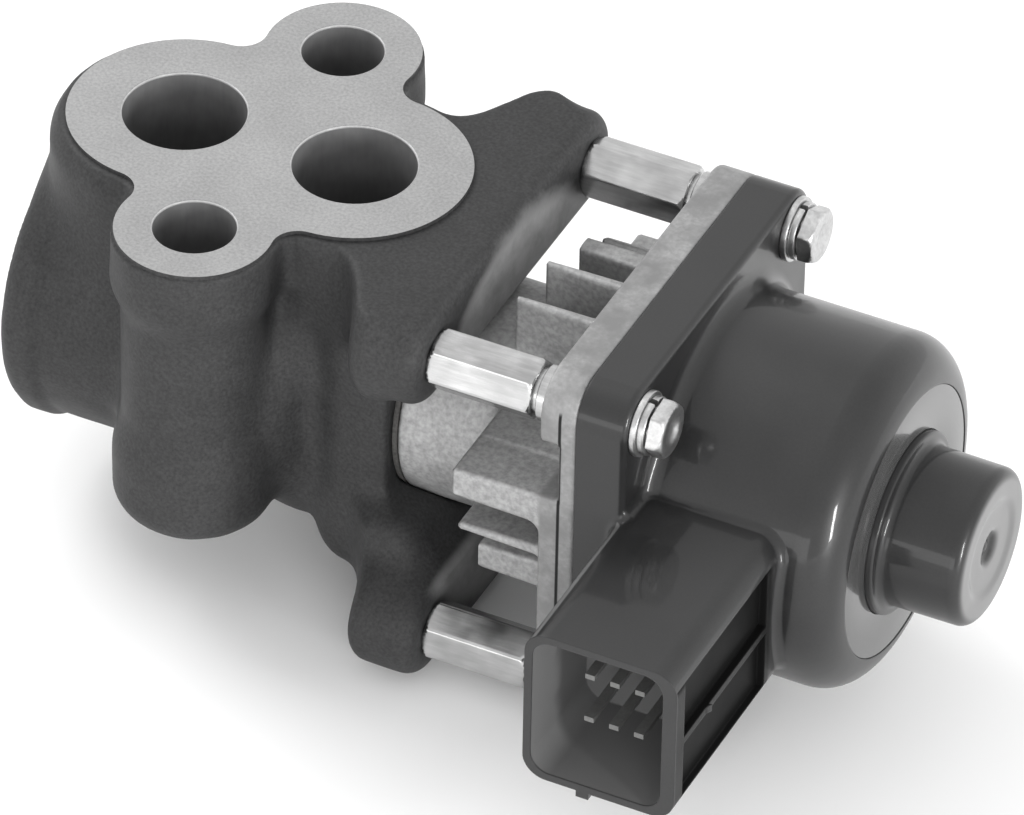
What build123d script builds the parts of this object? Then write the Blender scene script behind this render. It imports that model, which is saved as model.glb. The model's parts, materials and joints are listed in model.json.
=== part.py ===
from build123d import *
import os
from math import sqrt

# Exhaust gas recirculation valve with a stepper motor. Millimetres, +Z out of the mounting face.
# The origin is the centre of the mounting face, and the valve axis runs along +X towards the motor.

# Mounting face: two gas ports along X, two bolt holes along Y
port_r = 7.5
port_pitch = 22.7
port_land = 6.7
bolt_hole_r = 5.0
bolt_pitch = 38.7
bolt_land = 4.6
hole_break = 0.15
lobe_fillet = 3.2
flange_depth = 9.5
flange_draft = 4.0
flange_round = 3.0

# Cast body round the valve axis
axis_depth = 27.35
nose_r = 18.4
nose_reach = 27.3
nose_round = 2.5
rim_rise = 0.7
rim_length = 4.5
port_boss_wall = 9.3
column_wall = 3.8
column_depth = 41.9
column_round = 2.5
foot_rise = 1.1
foot_height = 11.5
chamber_r = 15.5
chamber_depth = 47.6
chamber_round = 4.0
wall_round = 9.0
block_back = 14.0
block_drop = 5.0
deck_drop = 1.0
deck_inset = 0.4
deck_neck = 13.6
deck_spread = 2.6
deck_fillet = 5.0

# Two bars on the motor side of the body, with one ear at each post
screw_gap = 7.2
ear_r = 6.4
bar_back = 23.6
bar_depth = 9.1
bar_round = 1.0
spot_r = 4.6
spot_depth = 0.4
hole_spare = 1.0

# Gas passages and seat
nose_bore_r = 13.0
seat_r = 11.5
seat_bore_r = 7.5
seat_length = 5.0
seat_back = -2.5
inlet_bore_r = 10.5
guide_wall = 7.0
plug_length = 5.0
plug_wall = 1.2
plug_inset = 1.0

# Valve stem, its guide and its return spring
stem_r = 2.5
head_r = 9.4
head_edge = 1.6
head_cone = 4.0
stem_tip = 1.2
stem_break = 0.4
seat_gap = 0.05
running_gap = 0.05
bushing_wall = 2.2
bushing_flange = 1.6
seal_length = 1.8
seal_wall = 3.0
retainer_r = 9.0
retainer_t = 1.4
retainer_lip = 2.0
clip_t = 0.8
clip_wall = 1.1
spring_wire_r = 0.7
spring_turns = 5
spring_r = 7.2

# Posts between body and heat sink
post_flats = 6.8
post_length = 15.6
post_chamfer = 0.9
collar_r = 3.5
collar_length = 1.4
groove_length = 0.5
groove_r = 2.8
stud_r = 2.0
stud_reach = 6.5
thread_play = 0.05
post_turns = (12.0, 41.0, 25.0, 3.0)

# Heat sink: neck, plate and fins
gasket_t = 0.6
gasket_wall = 3.5
neck_gap = 0.25
neck_bore_r = 9.8
neck_floor = 3.0
plate_margin = 4.75
plate_t = 4.7
plate_corner = 4.8
pocket_t = 2.4
pocket_inset = 7.0
seam_width = 0.4
seam_depth = 0.5
fin_length = 11.3
fin_draft = 2.0
upright_fins = ((-8.5, 1.6, 22.7), (-0.4, 1.6, 22.3), (9.5, 3.2, 18.3), (15.2, 1.8, 15.0))
lower_fin_reach = 15.5
level_fins = ((6.8, 4.6, 0.0), (-1.2, 1.6, 1.8), (-9.8, 4.2, 7.4))
seal_ring_r = 22.0
seal_ring_section = 1.3

# Motor housing
housing_t = 6.3
shell_r = 22.0
shell_length = 25.0
shell_wall = 2.2
shell_round = 5.5
end_wall = 3.0
boss_r = 9.9
boss_length = 11.2
boss_round = 1.4
boss_step_r = 11.4
boss_step_t = 0.9
boss_hole_r = 1.5
boss_hole_depth = 2.0
boss_ring_r = 4.6
boss_ring_width = 1.0
boss_ring_depth = 0.5
boss_wall = 4.0
disc_r = 17.0
disc_t = 0.4
disc_recess = 0.5
flange_edge = 0.8
root_fillet = 2.0

# Connector on the near side of the motor
socket_width = 19.5
socket_height = 21.6
socket_drop = 1.2
socket_reach = 48.7
socket_corner = 3.0
socket_wall = 1.0
side_wall = 1.8
socket_root = 1.2
socket_depth = 15.0
socket_offset = -1.3
rail_t = 1.0
panel_depth = 1.0
panel_margin = 2.2
latch_length = 3.0
latch_height = 1.4
latch_back = 9.0
key_width = 1.6
key_height = 0.9
key_length = 4.0
key_offset = -2.0
pin_pitch_x = 3.2
pin_pitch_z = 6.4
pin_width = 1.2
pin_t = 0.7
pin_inset = 4.0
pin_root = 3.0

# Fasteners on the motor flange
bush_wall = 0.9
screw_r = 2.0
head_flats = 6.4
head_t = 2.2
head_chamfer = 0.5
head_dimple_r = 1.5
head_dimple = 0.5
spring_washer_r = 3.6
spring_washer_t = 0.9
spring_washer_gap = 0.8
washer_r = 4.05
washer_t = 0.8
screw_turns = (8.0, 34.0, 19.0, 50.0)

# Motor inside
stack_length = 10.5
stack_gap = 0.3
yoke_t = 1.0
yoke_bore_r = 11.2
bobbin_t = 0.8
magnet_r = 10.7
magnet_wall = 3.8
magnet_length = 19.0
rotor_clear = 0.4
rotor_play = 0.5
screw_room = 1.0
bearing_r = 7.6
bearing_wall = 2.6
bearing_length = 3.2
guide_t = 3.0
screw_shaft_r = 3.0
screw_flat = 2.3
screw_tip_r = 1.8
screw_tip_length = 3.0
tip_gap = 0.3
screw_length = 33.0

# Closeness within which a corner or an edge counts as found
find_within = 0.01

# Stations along the valve axis
axis_z = -axis_depth
socket_z = axis_z - socket_drop
port_half = port_pitch / 2
bolt_half = bolt_pitch / 2
screw_half = (shell_r + screw_gap) / sqrt(2)
screw_pitch = 2 * screw_half
plate_half = screw_half + plate_margin
neck_r = screw_half - ear_r - neck_gap
port_lobe_r = port_r + port_land
bolt_lobe_r = bolt_hole_r + bolt_land
column_r = bolt_hole_r + column_wall
bar_front = bar_back + bar_depth
neck_back = bar_back + gasket_t
plate_back = bar_front + post_length
plate_front = plate_back + plate_t
housing_front = plate_front + housing_t
motor_end = housing_front + shell_length
boss_end = motor_end + boss_length
seat_front = seat_back + seat_length
guide_back = bar_back - guide_wall
spring_back = neck_back + neck_floor
bearing_front = plate_front
bearing_back = bearing_front - bearing_length
guide_front = bearing_back
screw_back = guide_front - guide_t
stem_front = screw_back - tip_gap - screw_tip_length
retainer_back = stem_front - stem_tip - clip_t - retainer_t
rear_bearing_back = motor_end - end_wall
rear_bearing_front = rear_bearing_back + bearing_length
valve_axis = Axis((0, 0, axis_z), (1, 0, 0))
corners = [(side * screw_half, rise * screw_half) for rise in (1, -1) for side in (-1, 1)]


# A plane across the valve axis at station x: its own x is Y and its own y is Z from the axis
def across(x):
    return Plane(origin=(x, 0, axis_z), x_dir=(0, 1, 0), z_dir=(1, 0, 0))


# A closed outline of (x, radius) points turned round the valve axis
def turned(points):
    section = Plane(origin=(0, 0, axis_z), x_dir=(1, 0, 0), z_dir=(0, -1, 0))
    return revolve(section * make_face(Polyline(*points, close=True)), axis=valve_axis)


# A tube between two stations on the valve axis
def tube(start, end, outer, inner):
    return turned([(start, inner), (end, inner), (end, outer), (start, outer)])


# A round bar between two stations, off the valve axis by (y, z)
def bar(start, end, radius, y=0.0, z=0.0):
    return extrude(across(start) * Pos(y, z) * Circle(radius), amount=end - start)


# A tube at each screw position
def corner_tubes(start, end, outer, inner):
    ring = Circle(outer) - Circle(inner)
    return [extrude(across(start) * Pos(y, z) * ring, amount=end - start) for y, z in corners]


# Lobes round the ports and bolt holes, joined across the middle
def face_outline():
    lobes = [Pos(side * port_half, 0) * Circle(port_lobe_r) for side in (-1, 1)]
    lobes += [Pos(0, side * bolt_half) * Circle(bolt_lobe_r) for side in (-1, 1)]
    middle = make_face(Polyline((port_half, 0), (0, bolt_half), (-port_half, 0), (0, -bolt_half), close=True))
    outline = middle + lobes
    return fillet(outline.vertices(), lobe_fillet)


# Flange under the mounting face, with draft and a rounded lower edge
def mounting_flange():
    flange = extrude(face_outline(), amount=-flange_depth, taper=-flange_draft)
    lower = flange.edges().group_by(Axis.Z)[0]
    return fillet(lower, flange_round)


# Round nose on the valve axis, with a rim round its rounded end
def nose():
    rim = bar(-nose_reach, rim_length - nose_reach, nose_r + rim_rise)
    rim = fillet(rim.edges().sort_by(Axis.X)[0], nose_round)
    rim = chamfer(rim.edges().sort_by(Axis.X)[-1], rim_rise)
    return rim + bar(-nose_reach + nose_round, port_half, nose_r)


# Boss from the nose up to the other port, with a rounded shoulder under the flange
def port_boss():
    boss = Pos(-port_half, 0) * Circle(port_r + port_boss_wall)
    boss = extrude(Pos(0, 0, -deck_drop) * boss, amount=-(axis_depth - deck_drop))
    return fillet(boss.edges().sort_by(Axis.Z)[-1], flange_round)


# Long column round each bolt hole, with a wider foot
def bolt_columns():
    column = extrude(Circle(column_r), amount=-column_depth)
    foot = extrude(Pos(0, 0, -column_depth) * Circle(column_r + foot_rise), amount=foot_height)
    foot = fillet(foot.edges().sort_by(Axis.Z)[0], column_round)
    foot = chamfer(foot.edges().sort_by(Axis.Z)[-1], foot_rise)
    return [Pos(0, side * bolt_half) * (column.cut(foot) + foot) for side in (-1, 1)]


# Round wall under the motor-side port, and a rounded block from it to the bars
def chamber():
    length = bar_back - block_back
    beyond = Pos(block_back + port_lobe_r, 0) * Rectangle(2 * port_lobe_r, 2 * port_lobe_r)
    outline = Pos(port_half, 0) * Circle(port_lobe_r) - beyond
    wall = extrude(Pos(0, 0, -deck_drop) * outline, amount=deck_drop - chamber_depth)
    lower = wall.edges().group_by(Axis.Z)[0].filter_by(GeomType.CIRCLE)
    wall = fillet(lower, wall_round)
    middle = (block_back + length / 2, 0, -(block_drop + chamber_depth) / 2)
    block = Pos(*middle) * Box(length, 2 * chamber_r, chamber_depth - block_drop)
    outer = block.edges().filter_by(lambda edge: edge.center().X < bar_back - find_within)
    return wall + fillet(outer, chamber_round)


# Deck that widens from the chamber to the ears of the upper bar
def deck():
    wide = screw_half + deck_spread
    bend = bar_back - deck_fillet
    half = [(port_half, deck_neck), (bend, deck_neck), (bar_back, wide), (bar_back + bar_round, wide)]
    points = half + [(x, -y) for x, y in reversed(half)]
    outline = make_face(Polyline(*points, close=True))
    inner = outline.vertices().filter_by(lambda v: abs(v.X - bend) < find_within)
    outline = fillet(inner, deck_fillet)
    lowest = axis_z + screw_half - ear_r + deck_inset
    return extrude(Pos(0, 0, lowest) * outline, amount=-deck_drop - lowest)


# Two bars that carry the posts, with round ends concentric with the screws
def motor_bars():
    bars = []
    for rise in (1, -1):
        outline = Pos(0, rise * screw_half) * SlotCenterToCenter(screw_pitch, 2 * ear_r)
        block = extrude(across(bar_back) * outline, amount=bar_depth)
        rims = block.edges().group_by(Axis.X)
        bars.append(fillet(rims[0] + rims[-1], bar_round))
    return bars


# Ports, bolt holes, the bore on the valve axis and the threaded holes of the posts
def body_cuts():
    cuts = []
    for side, bore_r in ((-1, nose_bore_r), (1, inlet_bore_r)):
        port_depth = axis_depth - sqrt(bore_r ** 2 - port_r ** 2)
        holes = ((side * port_half, 0, port_r, port_depth), (0, side * bolt_half, bolt_hole_r, column_depth))
        for x, y, radius, depth in holes:
            cuts.append(extrude(Pos(x, y) * Circle(radius), amount=-depth))
            cuts.append(Pos(x, y, -hole_break / 2) * Cone(radius, radius + hole_break, hole_break))
    cuts.append(turned([
        (-nose_reach, 0), (-nose_reach, nose_bore_r), (seat_back, nose_bore_r), (seat_back, seat_r),
        (seat_front, seat_r), (seat_front, inlet_bore_r), (guide_back, inlet_bore_r),
        (guide_back, stem_r + bushing_wall), (bar_back - seal_length, stem_r + bushing_wall),
        (bar_back - seal_length, stem_r + seal_wall), (bar_back, stem_r + seal_wall), (bar_back, 0)]))
    for y, z in corners:
        cuts.append(bar(bar_front - spot_depth, bar_front, spot_r, y, z))
        cuts.append(bar(bar_front - stud_reach - hole_spare, bar_front, stud_r + thread_play, y, z))
    return cuts


def valve_body():
    body = mounting_flange() + nose() + port_boss() + bolt_columns()
    body = body + chamber() + deck() + motor_bars()
    return body - body_cuts()


# Hardened ring with a flat land that the valve head closes against
def valve_seat():
    return tube(seat_back, seat_front, seat_r, seat_bore_r)


# Cup plug pressed into the nose
def core_plug():
    back = -nose_reach + plug_inset
    front = back + plug_length
    inner = nose_bore_r - plug_wall
    return turned([
        (back, inner), (back, nose_bore_r), (front, nose_bore_r), (front, 0), (front - plug_wall, 0),
        (front - plug_wall, inner)])


def stem_bushing():
    front = bar_back - seal_length
    inner = stem_r + running_gap
    return turned([
        (guide_back - bushing_flange, inner), (front, inner), (front, stem_r + bushing_wall),
        (guide_back, stem_r + bushing_wall), (guide_back, stem_r + 2 * bushing_wall),
        (guide_back - bushing_flange, stem_r + 2 * bushing_wall)])


def stem_seal():
    return tube(bar_back - seal_length, bar_back, stem_r + seal_wall, stem_r + running_gap)


def neck_gasket():
    return tube(bar_back, neck_back, neck_r, neck_r - gasket_wall)


# Valve head and stem in one piece, with a groove for the clip
def valve_stem():
    edge = seat_back - seat_gap
    clip_back = stem_front - stem_tip - clip_t
    groove = stem_r - clip_wall / 2
    return turned([
        (edge - head_edge, 0), (edge - head_edge, head_r), (edge, head_r), (edge, stem_r + head_cone / 2),
        (edge + head_cone, stem_r), (clip_back, stem_r), (clip_back, groove), (clip_back + clip_t, groove),
        (clip_back + clip_t, stem_r), (stem_front - stem_break, stem_r), (stem_front, stem_r - stem_break),
        (stem_front, 0)])


# Cup that the spring pushes on, with a turned-down rim
def spring_retainer():
    front = retainer_back + retainer_t
    lip = retainer_back - retainer_lip
    inner = retainer_r - retainer_t / 2
    return turned([
        (retainer_back, stem_r), (front, stem_r), (front, retainer_r), (lip, retainer_r), (lip, inner),
        (retainer_back, inner)])


def retainer_clip():
    back = retainer_back + retainer_t
    return tube(back, back + clip_t, stem_r + clip_wall, stem_r - clip_wall / 2)


# Coil spring between the neck floor and the retainer, on a helix with the axis along X
def return_spring():
    start = spring_back + spring_wire_r
    height = retainer_back - spring_wire_r - start
    path = Helix(pitch=height / spring_turns, height=height, radius=spring_r)
    wire = sweep(Plane(origin=path @ 0, z_dir=path % 0) * Circle(spring_wire_r), path=path)
    return across(start) * wire


# Hexagon post with a chamfered end, a groove and a round collar, and a stud into the body and the plate
def spacer_posts():
    hexagon = RegularPolygon(post_flats / 2, 6, major_radius=False)
    hex_length = post_length - collar_length - groove_length
    shank = extrude(hexagon, amount=hex_length)
    corner_r = post_flats / sqrt(3)
    taper = Cone(corner_r - post_chamfer, corner_r - post_chamfer + hex_length, hex_length)
    shank = shank & (Pos(0, 0, hex_length / 2) * taper)
    shank += extrude(Pos(0, 0, hex_length) * Circle(groove_r), amount=groove_length)
    shank += extrude(Pos(0, 0, hex_length + groove_length) * Circle(collar_r), amount=collar_length)
    shank += extrude(Pos(0, 0, -stud_reach) * Circle(stud_r), amount=stud_reach)
    bore = extrude(Pos(0, 0, post_length - hex_length) * Circle(screw_r + thread_play), amount=hex_length)
    shank -= bore
    places = [Pos(y, z) * Rot(0, 0, turn) for (y, z), turn in zip(corners, post_turns)]
    return [across(bar_front) * place * shank for place in places]


# Fins along X that grow thinner away from the plate: upright above and below the neck, level at its sides
def fins():
    outlines = []
    for offset, thick, reach in upright_fins:
        low = min(reach, lower_fin_reach)
        outlines.append(Pos(offset, (reach - low) / 2) * Rectangle(thick, reach + low))
    for offset, thick, inset in level_fins:
        outlines.append(Pos(0, offset) * Rectangle(2 * (plate_half - inset), thick))
    return [extrude(across(plate_back) * one, amount=-fin_length, taper=fin_draft) for one in outlines]


# Shallow pockets in the back of the plate, between the upper lugs and the top level fins
def plate_pockets():
    offset, thick = level_fins[0][:2]
    low = offset + thick / 2
    high = screw_half - collar_r
    side = plate_half - pocket_inset / 2
    outline = Rectangle(pocket_inset, high - low)
    return [extrude(across(plate_back) * Pos(edge * side, (low + high) / 2) * outline, amount=pocket_t)
            for edge in (-1, 1)]


def heat_sink():
    square = RectangleRounded(2 * plate_half, 2 * plate_half, plate_corner)
    plate = extrude(across(plate_back) * square, amount=plate_t)
    sink = plate + bar(neck_back, plate_back, neck_r) + fins()
    sink -= plate_pockets()
    inner = 2 * (plate_half - seam_depth)
    seam = square - RectangleRounded(inner, inner, plate_corner - seam_depth)
    sink -= extrude(across(plate_back + pocket_t) * seam, amount=seam_width)
    sink -= turned([
        (neck_back, 0), (neck_back, stem_r + seal_wall), (spring_back, stem_r + seal_wall),
        (spring_back, neck_bore_r), (screw_back, neck_bore_r), (screw_back, bearing_r),
        (plate_front, bearing_r), (plate_front, 0)])
    groove = seal_ring_r + seal_ring_section
    sink -= tube(plate_front - seal_ring_section, plate_front, groove, seal_ring_r)
    return sink - [bar(plate_back, plate_front, screw_r + thread_play, y, z) for y, z in corners]


def flange_gasket():
    return tube(plate_front - seal_ring_section, plate_front, seal_ring_r + seal_ring_section, seal_ring_r)


# Moulded flange and motor shell, open towards the heat sink
def motor_shell():
    square = RectangleRounded(2 * plate_half, 2 * plate_half, plate_corner)
    flange = extrude(across(plate_front) * square, amount=housing_t)
    flange = fillet(flange.edges().group_by(Axis.X)[-1], flange_edge)
    shell = bar(housing_front, motor_end, shell_r)
    shell = fillet(shell.edges().sort_by(Axis.X)[-1], shell_round)
    boss = bar(motor_end, boss_end, boss_r)
    boss = fillet(boss.edges().sort_by(Axis.X)[-1], boss_round)
    step = bar(motor_end, motor_end + boss_step_t, boss_step_r)
    joined = flange + shell
    root = joined.edges().filter_by(lambda edge: abs(edge.center().X - housing_front) < find_within)
    root = root.filter_by(GeomType.CIRCLE).sort_by(SortBy.RADIUS)[-1]
    return fillet(root, root_fillet) + step + boss


# Rounded connector block from the motor axis out to its mouth, flush with the flange face
def socket_block():
    centre = housing_front + socket_offset + socket_width / 2
    face = Plane(origin=(centre, 0, socket_z), x_dir=(1, 0, 0), z_dir=(0, -1, 0))
    outline = RectangleRounded(socket_width, socket_height, socket_corner)
    return face, extrude(face * outline, amount=socket_reach)


# Mouth of the connector and the two panels let into its motor-end side
def socket_cuts(face):
    width = socket_width - socket_wall - side_wall
    inner = RectangleRounded(width, socket_height - 2 * socket_wall, socket_corner - socket_wall / 2)
    inner = Pos((socket_wall - side_wall) / 2, 0) * inner
    floor = socket_reach - socket_depth
    mouth = extrude(face.offset(floor) * inner, amount=socket_depth)
    panel_height = (socket_height - rail_t) / 2 - panel_margin
    start = shell_r + panel_margin
    length = socket_reach - panel_margin - start
    panels = []
    for rise in (-1, 1):
        middle = rise * (rail_t + panel_height) / 2
        place = Pos(socket_width / 2 - panel_depth / 2, middle, start + length / 2)
        panels.append(face * place * Box(panel_depth, panel_height, length))
    return [mouth] + panels


# Edges where the connector block leaves the round motor shell
def socket_roots(housing):
    def on_shell(edge):
        middle = edge.position_at(0.5)
        away = sqrt(middle.Y ** 2 + (middle.Z - axis_z) ** 2)
        beside = middle.Y < 0 and housing_front < middle.X < motor_end - shell_round
        return beside and abs(away - shell_r) < find_within
    return housing.edges().filter_by(on_shell)


def motor_housing():
    face, block = socket_block()
    ramp_outline = Polyline((0, 0), (latch_length, 0), (0, latch_height), close=True)
    side = housing_front + socket_offset + socket_width - panel_depth
    foot = (side, -socket_reach + latch_back, socket_z - rail_t / 2)
    ramp_plane = Plane(origin=foot, x_dir=(0, -1, 0), z_dir=(0, 0, 1))
    latch = extrude(ramp_plane * make_face(ramp_outline), amount=rail_t)
    key = face * Pos(key_offset, -socket_height / 2, socket_reach - key_length / 2)
    key = key * Box(key_width, 2 * key_height, key_length)
    housing = motor_shell() + block
    housing = fillet(socket_roots(housing), socket_root) + key
    housing -= socket_cuts(face)
    housing += latch
    inner = shell_r - shell_wall
    housing -= turned([
        (plate_front, 0), (plate_front, inner), (rear_bearing_back, inner), (rear_bearing_back, bearing_r),
        (rear_bearing_front, bearing_r), (rear_bearing_front, screw_shaft_r + screw_room),
        (boss_end - boss_wall, screw_shaft_r + screw_room), (boss_end - boss_wall, 0)])
    housing -= tube(motor_end - disc_recess, motor_end, disc_r, boss_step_r)
    housing -= bar(boss_end - boss_hole_depth, boss_end, boss_hole_r)
    housing -= tube(boss_end - boss_ring_depth, boss_end, boss_ring_r, boss_ring_r - boss_ring_width)
    housing -= [bar(plate_front, housing_front, screw_r + thread_play + bush_wall, y, z) for y, z in corners]
    return housing - pin_blades()


def end_disc():
    return tube(motor_end - disc_recess, motor_end - disc_recess + disc_t, disc_r, boss_step_r)


# Six blade contacts in two rows of three, through the floor of the connector
def pin_blades():
    floor = socket_reach - socket_depth
    pin_reach = socket_depth - pin_inset
    centre = housing_front + socket_offset + socket_width / 2
    blades = []
    for row in (-0.5, 0.5):
        for step in (-1, 0, 1):
            middle = -(floor + (pin_reach - pin_root) / 2)
            place = Pos(centre + step * pin_pitch_x, middle, socket_z + row * pin_pitch_z)
            blades.append(place * Box(pin_width, pin_reach + pin_root, pin_t))
    return blades


def flange_bushes():
    bore = screw_r + thread_play
    return corner_tubes(plate_front, housing_front, bore + bush_wall, bore)


def flat_washers():
    return corner_tubes(housing_front, housing_front + washer_t, washer_r, screw_r + thread_play)


# Split washers, each with a gap across its ring
def spring_washers():
    start = housing_front + washer_t
    rings = corner_tubes(start, start + spring_washer_t, spring_washer_r, screw_r + thread_play)
    split = []
    for ring, (y, z) in zip(rings, corners):
        place = Pos(y, z + spring_washer_r / 2)
        slot = place * Rectangle(spring_washer_gap, spring_washer_r)
        split.append(ring - extrude(across(start) * slot, amount=spring_washer_t))
    return split


# Hexagon screws with a chamfered head and a dimple in the top
def motor_screws():
    head_back = washer_t + spring_washer_t
    hexagon = RegularPolygon(head_flats / 2, 6, major_radius=False)
    head = extrude(Pos(0, 0, head_back) * hexagon, amount=head_t)
    corner_r = head_flats / sqrt(3)
    cap = Cone(corner_r + head_t, corner_r - head_chamfer, head_t)
    head = head & (Pos(0, 0, head_back + head_t / 2) * cap)
    head -= extrude(Pos(0, 0, head_back + head_t - head_dimple) * Circle(head_dimple_r), amount=head_dimple)
    grip = housing_t + plate_t + collar_length + groove_length
    screw = head + extrude(Pos(0, 0, -grip) * Circle(screw_r), amount=grip + head_back)
    places = [Pos(y, z) * Rot(0, 0, turn) for (y, z), turn in zip(corners, screw_turns)]
    return [across(housing_front) * place * screw for place in places]


# Where each of the two motor stacks begins
def stack_start(index):
    middle = (plate_front + rear_bearing_back) / 2
    return middle + (index - 1) * (stack_length + stack_gap) + stack_gap / 2


# Pressed cups round each coil, open towards the rotor
def stator_yokes():
    outer = shell_r - shell_wall
    yokes = []
    for index in (0, 1):
        start = stack_start(index)
        end = start + stack_length
        tooth = stack_length / 3
        lip = yoke_bore_r + yoke_t
        yokes.append(turned([
            (start, outer), (end, outer), (end, yoke_bore_r), (end - tooth, yoke_bore_r),
            (end - tooth, lip), (end - yoke_t, lip), (end - yoke_t, outer - yoke_t),
            (start + yoke_t, outer - yoke_t), (start + yoke_t, lip), (start + tooth, lip),
            (start + tooth, yoke_bore_r), (start, yoke_bore_r)]))
    return yokes


# Spool inside each stack, and the copper wound on it
def coil_bobbins():
    inner = yoke_bore_r + yoke_t
    core = inner + bobbin_t
    outer = shell_r - shell_wall - yoke_t
    spools = []
    for index in (0, 1):
        start = stack_start(index) + yoke_t
        end = stack_start(index) + stack_length - yoke_t
        spools.append(turned([
            (start, inner), (end, inner), (end, outer), (end - bobbin_t, outer),
            (end - bobbin_t, core), (start + bobbin_t, core), (start + bobbin_t, outer), (start, outer)]))
    return spools


def coil_windings():
    inner = yoke_bore_r + yoke_t + bobbin_t
    outer = shell_r - shell_wall - yoke_t
    rings = []
    for index in (0, 1):
        start = stack_start(index) + yoke_t + bobbin_t
        end = stack_start(index) + stack_length - yoke_t - bobbin_t
        rings.append(tube(start, end, outer, inner))
    return rings


# Ring bearings at both ends of the rotor
def front_bearing():
    return tube(bearing_back, bearing_front, bearing_r, bearing_r - bearing_wall)


def rear_bearing():
    return tube(rear_bearing_back, rear_bearing_front, bearing_r, bearing_r - bearing_wall)


# Rotor core with journals in both bearings and a bore round the lead screw
def rotor_hub():
    journal = bearing_r - bearing_wall - running_gap
    inner = screw_shaft_r + rotor_clear
    hub = magnet_r - magnet_wall
    start = bearing_back + rotor_play
    front = bearing_front + rotor_play
    back = rear_bearing_back - rotor_play
    end = rear_bearing_front - rotor_play
    return turned([
        (start, inner), (start, journal), (front, journal), (front, hub), (back, hub), (back, journal),
        (end, journal), (end, inner)])


def rotor_magnet():
    middle = (plate_front + rear_bearing_back) / 2
    return tube(middle - magnet_length / 2, middle + magnet_length / 2, magnet_r, magnet_r - magnet_wall)


# Lead screw with one flat that its guide holds, and a narrow tip against the stem
def lead_screw():
    start = screw_back - screw_tip_length
    screw = bar(screw_back, screw_back + screw_length, screw_shaft_r) + bar(start, screw_back, screw_tip_r)
    flat = Pos(0, screw_flat + screw_shaft_r / 2) * Rectangle(2 * screw_shaft_r, screw_shaft_r)
    return screw - extrude(across(screw_back) * flat, amount=screw_length)


# Disc in the heat sink with a flat-sided hole for the lead screw
def screw_guide():
    hole = Circle(screw_shaft_r + running_gap)
    flat = screw_flat + running_gap
    hole -= Pos(0, flat + screw_shaft_r / 2) * Rectangle(3 * screw_shaft_r, screw_shaft_r)
    return extrude(across(screw_back) * (Circle(bearing_r) - hole), amount=guide_t)


pieces = {
    "valve_body": valve_body, "valve_seat": valve_seat, "core_plug": core_plug, "stem_bushing": stem_bushing,
    "stem_seal": stem_seal, "neck_gasket": neck_gasket, "valve_stem": valve_stem,
    "spring_retainer": spring_retainer, "retainer_clip": retainer_clip, "return_spring": return_spring,
    "spacer_posts": spacer_posts, "heat_sink": heat_sink, "flange_gasket": flange_gasket,
    "motor_housing": motor_housing, "end_disc": end_disc, "terminal_pins": pin_blades,
    "flange_bushes": flange_bushes, "flat_washers": flat_washers, "spring_washers": spring_washers,
    "motor_screws": motor_screws, "stator_yokes": stator_yokes, "coil_bobbins": coil_bobbins,
    "coil_windings": coil_windings, "front_bearing": front_bearing, "rear_bearing": rear_bearing,
    "rotor_hub": rotor_hub, "rotor_magnet": rotor_magnet, "lead_screw": lead_screw,
    "screw_guide": screw_guide}

os.makedirs("parts", exist_ok=True)
for name, make in pieces.items():
    made = make()
    solid = Compound(children=made) if isinstance(made, list) else made
    export_step(solid, f"parts/{name}.step")
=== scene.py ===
import json
import math
import bmesh
import bpy
import numpy as np
from mathutils import Matrix, Vector

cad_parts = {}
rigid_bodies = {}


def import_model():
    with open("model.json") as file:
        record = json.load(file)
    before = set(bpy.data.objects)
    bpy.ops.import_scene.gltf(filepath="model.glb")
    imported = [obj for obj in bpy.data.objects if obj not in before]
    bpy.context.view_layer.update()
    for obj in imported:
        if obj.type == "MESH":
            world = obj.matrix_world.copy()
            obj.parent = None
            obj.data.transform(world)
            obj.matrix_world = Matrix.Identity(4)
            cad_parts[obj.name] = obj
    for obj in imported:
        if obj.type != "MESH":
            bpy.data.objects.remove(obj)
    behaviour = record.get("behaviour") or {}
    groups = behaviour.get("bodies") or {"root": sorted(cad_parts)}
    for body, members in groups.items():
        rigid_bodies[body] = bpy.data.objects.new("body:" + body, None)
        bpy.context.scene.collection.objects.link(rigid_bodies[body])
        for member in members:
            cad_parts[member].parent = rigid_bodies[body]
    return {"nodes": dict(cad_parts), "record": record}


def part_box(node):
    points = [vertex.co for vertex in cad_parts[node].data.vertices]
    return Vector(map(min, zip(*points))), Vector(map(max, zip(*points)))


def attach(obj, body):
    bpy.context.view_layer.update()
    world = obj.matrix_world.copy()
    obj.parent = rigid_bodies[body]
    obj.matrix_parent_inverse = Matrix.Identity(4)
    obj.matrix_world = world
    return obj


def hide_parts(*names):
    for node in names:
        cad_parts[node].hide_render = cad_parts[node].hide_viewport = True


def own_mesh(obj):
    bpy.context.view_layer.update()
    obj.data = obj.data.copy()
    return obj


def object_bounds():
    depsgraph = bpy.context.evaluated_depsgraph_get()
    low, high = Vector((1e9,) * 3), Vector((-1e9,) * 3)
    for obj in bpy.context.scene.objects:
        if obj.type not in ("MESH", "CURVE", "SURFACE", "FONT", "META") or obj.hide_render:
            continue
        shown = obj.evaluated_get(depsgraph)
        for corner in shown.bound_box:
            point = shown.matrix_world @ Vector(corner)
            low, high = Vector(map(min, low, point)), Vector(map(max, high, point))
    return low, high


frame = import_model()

scene = bpy.context.scene
cadBox = [list(corner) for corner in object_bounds()]
nodes = frame["nodes"]
mm = 0.001
axisZ = -27.35  # height of the valve axis under the mounting face, in mm
cornerHalf = 20.65  # posts and screws sit this far from the axis in Y and in Z
portX = 11.35  # the gas ports stand this far from the middle of the face in X
boltY = 19.35  # and the bolt holes this far in Y
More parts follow.
